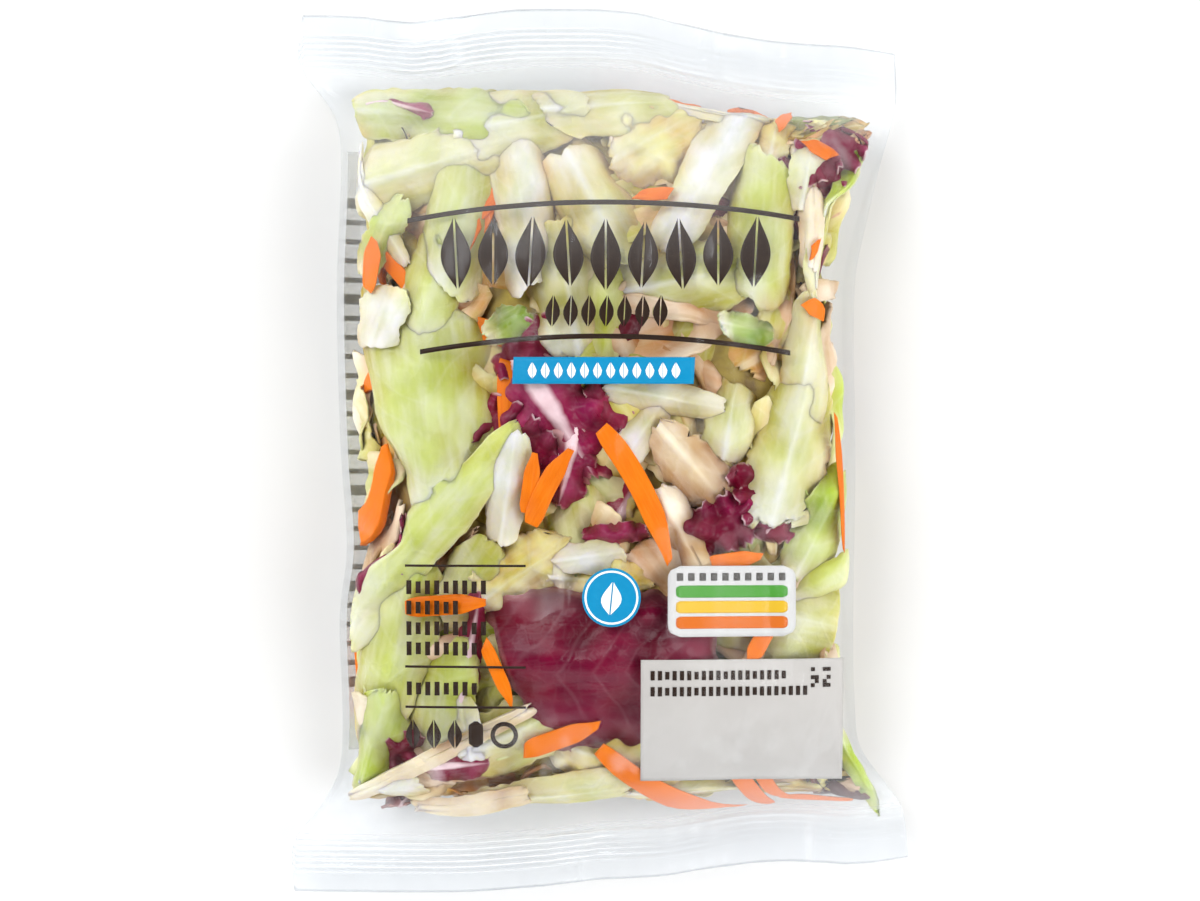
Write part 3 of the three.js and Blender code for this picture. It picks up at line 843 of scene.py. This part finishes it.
def film_finish():
    """Thin clear film: cool, clear and glossy, with painted highlights on the crimps and on folds near the
    ends, painted light near the ends, a painted reflection over the top, and painted shade in the crimp
    troughs and along the cut edges.
    """
    finish = Finish("clear film")
    coordinates = finish.add("ShaderNodeTexCoord").outputs["Object"]
    from_end = finish.read("from_end")
    split = finish.add("ShaderNodeSeparateXYZ", {0: coordinates})
    drawn = finish.stretched(coordinates, 1.0, 0.05, 1.0)
    streaks = finish.speckle(230.0, 2.0, drawn)
    wrinkles = finish.speckle(60.0, 1.0)
    wave = finish.math("SINE", finish.math("MULTIPLY", from_end, math.tau / CRIMP_PITCH))
    in_band = finish.math(
        "MULTIPLY",
        finish.spread(from_end, LIP, LIP + 0.5, 0.0, 1.0),
        finish.spread(from_end, SEAL_BAND - 0.5, SEAL_BAND, 1.0, 0.0),
    )
    left = finish.spread(split.outputs[0], -0.01, 0.05, 1.0, 0.25)
    pressed = finish.math("MULTIPLY", in_band, left)
    crimps = finish.math("MULTIPLY", wave, pressed)
    height = finish.math("ADD", finish.math("MULTIPLY", streaks, 0.4), wrinkles)
    normal = finish.bump(height, 0.0012, 0.5)
    to_end = finish.math("ABSOLUTE", split.outputs[1])
    near_end = finish.spread(to_end, 0.058, 0.094, 0.0, 1.0)
    # painted glints: broad white streaks near the ends
    stretched = finish.spread(finish.speckle(160.0, 1.0, drawn), 0.55, 0.75, 0.0, 0.22)
    folds = finish.math("MULTIPLY", stretched, near_end)
    # painted shade: a dark line along each cut edge
    cut = finish.spread(from_end, 0.3, 0.7, 0.22, 0.0)
    # painted highlights: white on the crimp ridges
    painted_white_share = finish.spread(crimps, 0.5, 0.95, 0.0, 0.4)
    # painted light: a white haze near the ends that lifts the shade there
    painted_light_haze = finish.math(
        "MULTIPLY",
        finish.spread(from_end, 8.0, SEAL_BAND, 0.1, 0.26),
        finish.spread(from_end, SEAL_BAND, 26.0, 1.0, 0.0),
    )
    # painted reflection: a white veil over the top of the bag, strongest at its left
    painted_reflection = finish.math(
        "MULTIPLY", finish.spread(split.outputs[1], 0.04, 0.08, 0.0, 0.13),
        finish.spread(split.outputs[0], 0.028, 0.055, 1.0, 0.1),
    )
    for share in (folds, painted_light_haze, painted_reflection):
        painted_white_share = finish.math("MAXIMUM", painted_white_share, share)
    # painted shade: darker in the crimp troughs and along the cut edges
    shade = finish.math("MAXIMUM", finish.spread(crimps, -0.95, -0.4, 0.06, 0.0), cut)
    tint = finish.blend(near_end, FILM_CLEAR_TINT, FILM_END_TINT)
    tint = finish.blend(shade, tint, FILM_PAINTED_SHADE_TINT)
    clear = finish.add("ShaderNodeBsdfTransparent", {"Color": tint})
    white = finish.add(
        "ShaderNodeBsdfPrincipled", {"Base Color": (0.95, 0.96, 0.97, 1.0), "Roughness": 0.4}
    )
    base = finish.add("ShaderNodeMixShader", {0: painted_white_share, 1: clear.outputs[0], 2: white.outputs[0]})
    gloss = finish.add(
        "ShaderNodeBsdfPrincipled",
        {"Base Color": (0.86, 0.89, 0.92, 1.0), "Roughness": 0.12, "Metallic": 0.9, "Normal": normal},
    )
    facing = finish.add("ShaderNodeLayerWeight", {"Blend": 0.1, "Normal": normal}).outputs["Fresnel"]
    haze = finish.spread(streaks, 0.4, 0.75, 0.004, 0.024)
    mirrored = finish.math("MINIMUM", finish.math("MULTIPLY", facing, 0.45), 0.16)
    share = finish.math("ADD", mirrored, haze, limit=True)
    shader = finish.add("ShaderNodeMixShader", {0: share, 1: base.outputs[0], 2: gloss.outputs[0]})
    return finish.surface(shader.outputs[0])


def ink_finish(name, colour, worn, cover=1.0):
    """Printed ink: one colour, a little thinner in patches."""
    finish = Finish(name)
    patches = finish.spread(finish.speckle(700.0, 4.0), 0.4, 0.75, 0.0, 0.35)
    shader = finish.add(
        "ShaderNodeBsdfPrincipled",
        {"Base Color": finish.blend(patches, colour, worn), "Roughness": 0.42,
         "Specular IOR Level": 0.15,
         "Normal": finish.bump(finish.speckle(1500.0), 0.00005, 0.4), "Alpha": cover},
    )
    return finish.surface(shader.outputs[0])


# Film with its crimped seals and creases

def from_end(vertex):
    """Distance to the nearer cut end, in millimetres."""
    x, y = vertex.co.x / MM, vertex.co.y / MM
    return min(y - read_line(ENDS[0], x), read_line(ENDS[1], x) - y)


def crimp_lift(vertex, distance):
    """How far a crimp raises the film, most at the left of the bag."""
    fade = smooth(LIP, LIP + CRIMP_FADE, distance) - smooth(SEAL_BAND - CRIMP_FADE, SEAL_BAND, distance)
    press = 1.0 - 0.6 * smooth(*CRIMP_WEAKER, vertex.co.x / MM)
    return CRIMP_HEIGHT * fade * press * math.sin(distance / CRIMP_PITCH * math.tau)


def cut_finer(bm):
    """Cuts the film finer along the bag, in the bands that are crimped."""
    edges = []
    for edge in bm.edges:
        reach = edge.verts[0].co - edge.verts[1].co
        distances = [from_end(v) for v in edge.verts]
        in_band = LIP + CUT_MARGIN < min(distances) and max(distances) < SEAL_BAND - CUT_MARGIN
        if in_band and abs(reach.y) > 2 * abs(reach.x):
            edges.append(edge)
    bmesh.ops.subdivide_edges(bm, edges=edges, cuts=CRIMP_CUTS, use_grid_fill=True)


def crease_lift(vertex):
    """Small folds that run out of the seals, and die out along the pouch."""
    x, y = vertex.co.x / MM, vertex.co.y / MM
    side = 3.0 if y > 0 else 8.0
    fan = x * (1 + 0.004 * (abs(y) - 90))
    ridge = abs(noise.noise((fan / 5.5, side, y / 60)))
    ridge += 0.5 * abs(noise.noise((fan / 2.3, side, y / 40)))
    reach = smooth(CREASE_START, CREASE_FULL, abs(y)) * (1 - 0.6 * smooth(*CREASE_PRESSED, abs(y)))
    lift = min(CREASE_HEIGHT * reach * (0.35 - ridge) * 2, 0.0)
    return lift if abs(y) > CREASE_FULL else max(lift, -CREASE_DEPTH)


def finish_film():
    """Gives the film its crimps and creases, and its finish."""
    bm = bmesh.new()
    bm.from_mesh(film.data)
    cut_finer(bm)
    bm.normal_update()
    layer = bm.verts.layers.float.new("from_end")
    for vertex in bm.verts:
        distance = vertex[layer] = from_end(vertex)
        lift = crimp_lift(vertex, distance)
        if vertex.normal.z > 0.3:
            lift += crease_lift(vertex)
        vertex.co.z = max(vertex.co.z + lift * MM, 0.0)
    for face in bm.faces:
        face.smooth = True
    bm.to_mesh(film.data)
    bm.free()
    film.data.materials.clear()
    film.data.materials.append(film_finish())
    settle(film, "film")


# Print, laid just inside the film

class Print:
    """The marks of one ink, as thin patches that follow the film."""

    def __init__(self, name, finish, face=1, depth=INK_DEPTH):
        self.name, self.finish, self.face, self.depth = name, finish, face, depth
        self.bm = bmesh.new()

    def patch(self, to_place, cells):
        grid = bmesh.ops.create_grid(self.bm, x_segments=cells[0], y_segments=cells[1], size=1.0)
        for vertex in grid["verts"]:
            x, y = to_place(vertex.co.x, vertex.co.y)
            left, right = (read_line(side, y) for side in SIDES)
            x = clamp(x, left + PRINT_CLEAR, right - PRINT_CLEAR)
            front, back = faces_at(FILM_TREE, x, y)
            z = front - self.depth if self.face > 0 else back + self.depth
            vertex.co = Vector((x, y, z)) * MM
        if self.face < 0:
            faces = list({f for v in grid["verts"] for f in v.link_faces})
            bmesh.ops.reverse_faces(self.bm, faces=faces)

    def bar(self, x, y, width, height, lean=0.0, corner=0.0):
        """An upright rectangle, with rounded corners if asked."""
        def to_place(u, v):
            half_w, half_h = width / 2, height / 2
            inset = 0.0
            if corner:
                over = max(abs(v) * half_h - (half_h - corner), 0.0)
                inset = corner - math.sqrt(max(corner ** 2 - over ** 2, 0.0))
            return x + u * (half_w - inset) + lean * v * half_h, y + v * half_h
        self.patch(to_place, (max(round(width), 1), max(round(height), 1 + 6 * bool(corner))))

    def arc(self, left, middle, right, thickness):
        """A long bar that bows through three points."""
        def to_place(u, v):
            along = (u + 1) / 2
            x = left[0] + (right[0] - left[0]) * along
            bow = middle[1] - (left[1] + right[1]) / 2
            y = left[1] + (right[1] - left[1]) * along + bow * (1 - u * u)
            return x, y + v * thickness / 2
        self.patch(to_place, (100, 2))

    def half_leaf(self, x, y, width, height, side, lean=0.0):
        """Half of an upright leaf shape, on one side of its middle rib."""
        def to_place(u, v):
            share = math.sin(math.pi * (v + 1) / 2) ** 1.15 * (1 - 0.28 * v)
            inner = 0.035 * width
            reach = inner + (width / 2 - inner) * max(share, 0.0) * (u + 1) / 2
            return x + side * reach + lean * v * height / 2, y + v * height / 2
        self.patch(to_place, (5, max(round(height), 4)))

    def leaf(self, x, y, width, height, lean=0.0):
        self.half_leaf(x, y, width, height, -1, lean)
        self.half_leaf(x, y, width, height, 1, lean)

    def ring(self, x, y, inner, outer):
        def to_place(u, v):
            angle = u * math.pi
            radius = inner + (outer - inner) * (v + 1) / 2
            return x + radius * math.cos(angle), y - radius * math.sin(angle)
        self.patch(to_place, (48, max(round(outer - inner), 1)))
        bmesh.ops.remove_doubles(self.bm, verts=self.bm.verts, dist=0.001 * MM)

    def done(self):
        """Makes the marks into a thin solid piece."""
        mesh = mesh_of(self.name, self.bm)
        mesh.materials.append(self.finish)
        piece = added(self.name, mesh)
        solid = piece.modifiers.new("thickness", "SOLIDIFY")
        solid.thickness = INK_THICKNESS * MM
        solid.offset = -1
        settle(piece, "ink")


# Places and sizes of the print, from the middle of the bag
TITLE_ARCS = (((-47.5, 56.6), (0, 61.0), (49.2, 57.0)), ((-44.2, 24.2), (0, 28.0), (46.8, 24.0)))
ARC_THICKNESS = 1.25
TITLE_START = (-35.4, 48.4)
TITLE_PITCH = 9.2
TITLE_MARK = (7.4, 17.5)
SECOND_START = (-11.6, 34.2)
SECOND_PITCH = 4.4
SECOND_MARK = (3.6, 7.8)
RULES = (-28.3, -53.2, -63.2)
RULE_MIDDLE = -33.1
RULE_SIZE = (29.8, 0.6)
TEXT_START = -47.0
TEXT_PITCH = 2.3
TEXT_ROWS = ((-33.6, 9), (-38.6, 6), (-43.7, 9), (-48.7, 8), (-58.6, 8))  # height and marks
FIGURES_HEIGHT = -70.0
BANNER = (0.9, 19.6)
BANNER_SIZE = (44.5, 6.6)
BADGE = (2.8, -36.0)
BADGE_RADIUS = 7.2
PANEL = (32.4, -37.0)
PANEL_SIZE = (31.6, 17.4)
STRIPE_SIZE = (27.6, 3.0)
STRIPES = (("green", "46902f", -34.6), ("yellow", "d4ab28", -38.4), ("orange", "cc681c", -42.2))
PANEL_MARKS_HEIGHT = -31.0
LABEL = (35.2, -66.6)
LABEL_SIZE = (50.4, 30.6)
LABEL_ROWS = ((-55.2, 19), (-59.2, 22))  # height and marks
CODE_CORNER = (52.6, -54.0)
CODE_CELLS = 5
BACK_PANEL = (-37.5, 0, 60.0, 150.0)
BACK_ROW_START = (-65.5, 62)
BACK_ROW_PITCH = 4.8
BACK_ROW_LENGTHS = (40.0, 33.0, 44.0, 26.0)


def ink_print(name, look, colour, worn, cover=1.0, **how):
    return Print(name, ink_finish(look, linear(colour), linear(worn), cover), **how)


def print_title(ink):
    """Two arcs, with a row of large leaf shapes and one of small ones between them."""
    for points in TITLE_ARCS:
        ink.arc(*points, ARC_THICKNESS)
    width, height = TITLE_MARK
    for i in range(9):
        x, y = TITLE_START[0] + i * TITLE_PITCH, TITLE_START[1] + 0.4 * math.sin(i)
        ink.leaf(x, y, width, height - 1.2 * (i % 2), lean=0.06 * (i % 3 - 1))
    for i in range(7):
        ink.leaf(SECOND_START[0] + i * SECOND_PITCH, SECOND_START[1], *SECOND_MARK, lean=0.05)


def print_small_text(ink):
    """The column of rows and rules at the lower left, with large figures under it."""
    for y in RULES:
        ink.bar(RULE_MIDDLE, y, *RULE_SIZE)
    for y, marks in TEXT_ROWS:
        for i in range(marks):
            ink.bar(TEXT_START + i * TEXT_PITCH, y, 1.25, 3.4 - 0.5 * (i % 3 == 1))
    for i in range(3):
        ink.leaf(-46.2 + i * 5.2, FIGURES_HEIGHT, 3.6, 7.4)
    ink.bar(-30.6, FIGURES_HEIGHT, 3.6, 6.6, corner=1.4)
    ink.ring(-23.6, FIGURES_HEIGHT - 0.2, 2.3, 3.4)


def print_label_text(ink):
    """Two rows and a few squares on the date label."""
    for y, marks in LABEL_ROWS:
        for i in range(marks):
            ink.bar(12.9 + i * 1.8, y, 1.0, 2.3 - 0.4 * (i % 4 == 2))
    for i in range(CODE_CELLS):
        for j in range(CODE_CELLS):
            if (i * 3 + j * 2 + i * j) % 4 < 2:
                ink.bar(CODE_CORNER[0] + i, CODE_CORNER[1] - j, 0.96, 0.96)


def print_brown():
    ink = ink_print("print_brown", "brown ink", "26160c", "382818")
    print_title(ink)
    print_small_text(ink)
    print_label_text(ink)
    ink.done()


def print_blue():
    ink = ink_print("print_blue", "blue ink", "0485b4", "1c92c0")
    ink.bar(*BANNER, *BANNER_SIZE, lean=0.06)
    ink.ring(*BADGE, 0.01, BADGE_RADIUS)
    ink.done()


def print_white():
    ink = ink_print("print_white", "white ink", "f4f5f3", "e6e8e6", depth=UPPER_INK_DEPTH)
    for i in range(12):
        ink.leaf(-16.6 + i * 3.2, BANNER[1], 2.2, 4.0)
    ink.ring(*BADGE, BADGE_RADIUS - 1.1, BADGE_RADIUS - 0.6)
    ink.leaf(BADGE[0], BADGE[1] - 0.2, 5.0, 8.0, lean=0.1)
    ink.done()
    panel = ink_print("print_panel", "white panel", "c6c5c4", "bcbbba")
    panel.bar(*PANEL, *PANEL_SIZE, corner=3.0)
    panel.done()


def print_panel_marks():
    for name, colour, y in STRIPES:
        ink = ink_print("print_" + name, "print " + name, colour, colour, depth=UPPER_INK_DEPTH)
        ink.bar(PANEL[0], y, *STRIPE_SIZE, corner=1.0)
        ink.done()
    ink = ink_print("print_grey", "grey ink", "55524f", "6a6763", depth=UPPER_INK_DEPTH)
    for i in range(10):
        ink.bar(19.6 + i * 2.8, PANEL_MARKS_HEIGHT, 1.6, 1.9)
    ink.done()


def date_label():
    ink = ink_print("date_label", "pale label", "bcb8b4", "b4b1ac", 0.96, depth=0.26)
    ink.bar(*LABEL, *LABEL_SIZE)
    ink.done()


def back_print():
    panel = ink_print("back_panel", "white back panel", "eceeec", "dfe2e0", 0.3, face=-1)
    panel.bar(*BACK_PANEL, corner=3.0)
    panel.done()
    rows = ink_print(
        "back_rows", "grey back ink", "4b4a48", "5f5d5a", 0.6, face=-1, depth=UPPER_INK_DEPTH
    )
    for i in range(26):
        length = BACK_ROW_LENGTHS[i % 4]
        y = BACK_ROW_START[1] - i * BACK_ROW_PITCH
        rows.bar(BACK_ROW_START[0] + length / 2, y, length, 1.3 if i % 5 else 2.6)
    rows.done()


# Core of the filling

CORE_HALF = (55, 84)
CORE_SHARE = 0.30  # half the core's height, as a share of the pouch's
CORE_LUMPS = 0.04  # by which that share differs
CORE_SQUARENESS = (0.8, 0.7)  # powers under 1 that fill out a ball, from above and from the side


def make_core():
    """A lumpy mass in the middle of the pouch, which closes the gaps between the leaves."""
    bm = bmesh.new()
    bmesh.ops.create_icosphere(bm, subdivisions=5, radius=1.0)
    for vertex in bm.verts:
        ball = vertex.co.copy()
        spread = [math.copysign(abs(c) ** CORE_SQUARENESS[0], c) for c in (ball.x, ball.y)]
        x, y = kept_in(spread[0] * CORE_HALF[0], spread[1] * CORE_HALF[1], SIDE_CLEAR[1])
        front, back = faces_at(SHAPE_TREE, x, y)
        lump = CORE_LUMPS * noise.noise((x / 9, y / 9, ball.z))
        share = 0.5 + (CORE_SHARE + lump) * math.copysign(abs(ball.z) ** CORE_SQUARENESS[1], ball.z)
        vertex.co = Vector((x, y, back + (front - back) * share)) * MM
    mesh = mesh_of("filling_core", bm)
    # its finish paints it in the colours of shaded leaves
    mesh.materials.append(core_finish())
    settle(added("filling_core", mesh), "lettuce")


FRONT_CELLS = (22, 34)  # that a leaf in front is cut up into


def make_contents():
    """All leaves and sticks, in one piece for each family in front and in each layer inside."""
    lettuce_look = (WHITE_RIB, 0.3, (0.25, 1.0), 0.08, linear("a8b43a"), 0.34)
    cabbage_look = (linear("f4ecda"), 0.35, (0.25, 1.0), 0.08, linear("c2a468"), 0.36)
    red = leaf_finish("red leaf", PINK_RIB, 0.02, (0.3, 0.6), 0.03, linear("3c0620"), 0.3, 0.0)
    carrot = carrot_finish()
    in_front = {
        "lettuce": leaf_finish("crisp lettuce", *lettuce_look, 0.65), "red": red,
        "cabbage": leaf_finish("white cabbage", *cabbage_look, 0.55), "carrot": carrot,
    }
    inside = {
        "lettuce": leaf_finish("lettuce inside", *lettuce_look, 0.0), "red": red,
        "cabbage": leaf_finish("cabbage inside", *cabbage_look, 0.0), "carrot": carrot,
    }
    front = {name: Pieces(name + "_front") for name in in_front}
    family = dict.fromkeys(("pale", "lime", "white", "green", "dark", "heart"), "lettuce")
    family.update(dict.fromkeys(REDS, "red"), cream="cabbage", cabbage="cabbage")
    for leaf in front_leaves():
        lay_leaf(front[family[leaf.kind]], leaf, FRONT_CELLS)
    for stick in front_sticks():
        lay_stick(front["carrot"], stick)
    groups = [front]
    for depth, layer in enumerate(LAYERS):
        group = {name: Pieces(f"{name}_filling_{depth}") for name in front}
        for piece in filling(layer):
            if piece.kind == "stick":
                lay_stick(group["carrot"], piece)
            else:
                lay_leaf(group[family[piece.kind]], piece, layer["cells"])
        groups.append(group)
    for group in groups:
        finishes = in_front if group is front else inside
        group["lettuce"].finish(finishes["lettuce"], "lettuce", LEAF_THICKNESS)
        group["red"].finish(finishes["red"], "red_leaf", LEAF_THICKNESS)
        group["cabbage"].finish(finishes["cabbage"], "cabbage", CABBAGE_THICKNESS)
        group["carrot"].finish(finishes["carrot"], "carrot")


# Floor, lights and camera

def make_floor():
    finish = Finish("pale floor")
    shader = finish.add(
        "ShaderNodeBsdfPrincipled",
        {"Base Color": (0.68, 0.68, 0.68, 1.0), "Roughness": 0.8,
         "Emission Color": (0.95, 0.98, 1.0, 1.0), "Emission Strength": 0.14},
    )
    bm = bmesh.new()
    bmesh.ops.create_grid(bm, x_segments=1, y_segments=1, size=FLOOR_HALF)
    mesh = mesh_of("floor", bm)
    mesh.materials.append(finish.surface(shader.outputs[0]))
    added("floor", mesh)


def area_light(name, place, size, power):
    light = bpy.data.lights.new(name, "AREA")
    light.energy = power
    light.shape = "DISK"
    light.size = size
    lamp = bpy.data.objects.new(name, light)
    bpy.context.scene.collection.objects.link(lamp)
    lamp.location = place
    lamp.rotation_euler = (Vector(LIGHT_AIM) - Vector(place)).to_track_quat("-Z", "Y").to_euler()


CAMERA_HEIGHT = 1.6  # metres, as are the next three
FRAME_WIDTH = 0.300  # that the picture spans at the height of the bag's side edges
EDGE_HEIGHT = 0.018
FLOOR_HALF = 3.0
SENSOR = 36.0
WALL_LIGHT = 3.0
CEILING_LIGHT = 0.1
WALL_TOP = (0.1, 0.6)  # rise of a ray at which the walls begin to darken, and are ceiling
LIGHT_AIM = (0, 0, 0.02)


def make_camera():
    """A long lens that looks straight down."""
    data = bpy.data.cameras.new("camera")
    data.sensor_width = SENSOR
    data.lens = SENSOR * (CAMERA_HEIGHT - EDGE_HEIGHT) / FRAME_WIDTH
    data.clip_start = 0.1
    camera = bpy.data.objects.new("camera", data)
    bpy.context.scene.collection.objects.link(camera)
    camera.location = (0.0, 0.0, CAMERA_HEIGHT)
    bpy.context.scene.camera = camera


def light_scene():
    """A studio with bright walls and a dark ceiling, and two soft lights."""
    world = bpy.data.worlds.new("studio")
    bpy.context.scene.world = world
    world.use_nodes = True
    nodes, links = world.node_tree.nodes, world.node_tree.links
    direction = nodes.new("ShaderNodeTexCoord")
    split = nodes.new("ShaderNodeSeparateXYZ")
    strength = nodes.new("ShaderNodeMapRange")
    for key, value in enumerate((*WALL_TOP, WALL_LIGHT, CEILING_LIGHT), start=1):
        strength.inputs[key].default_value = value
    links.new(direction.outputs["Generated"], split.inputs[0])
    links.new(split.outputs[2], strength.inputs[0])
    links.new(strength.outputs[0], nodes["Background"].inputs["Strength"])
    nodes["Background"].inputs["Color"].default_value = (1.0, 1.0, 1.0, 1.0)
    area_light("key light", (-0.65, 0.5, 1.2), size=0.9, power=15.5)
    area_light("fill light", (0.85, -0.35, 1.1), size=1.0, power=13.5)
    bpy.context.scene.view_settings.view_transform = "Standard"


make_core()
make_contents()
print_brown()
print_blue()
print_white()
print_panel_marks()
date_label()
back_print()
finish_film()
bpy.data.objects.remove(shape)
make_floor()
light_scene()
make_camera()
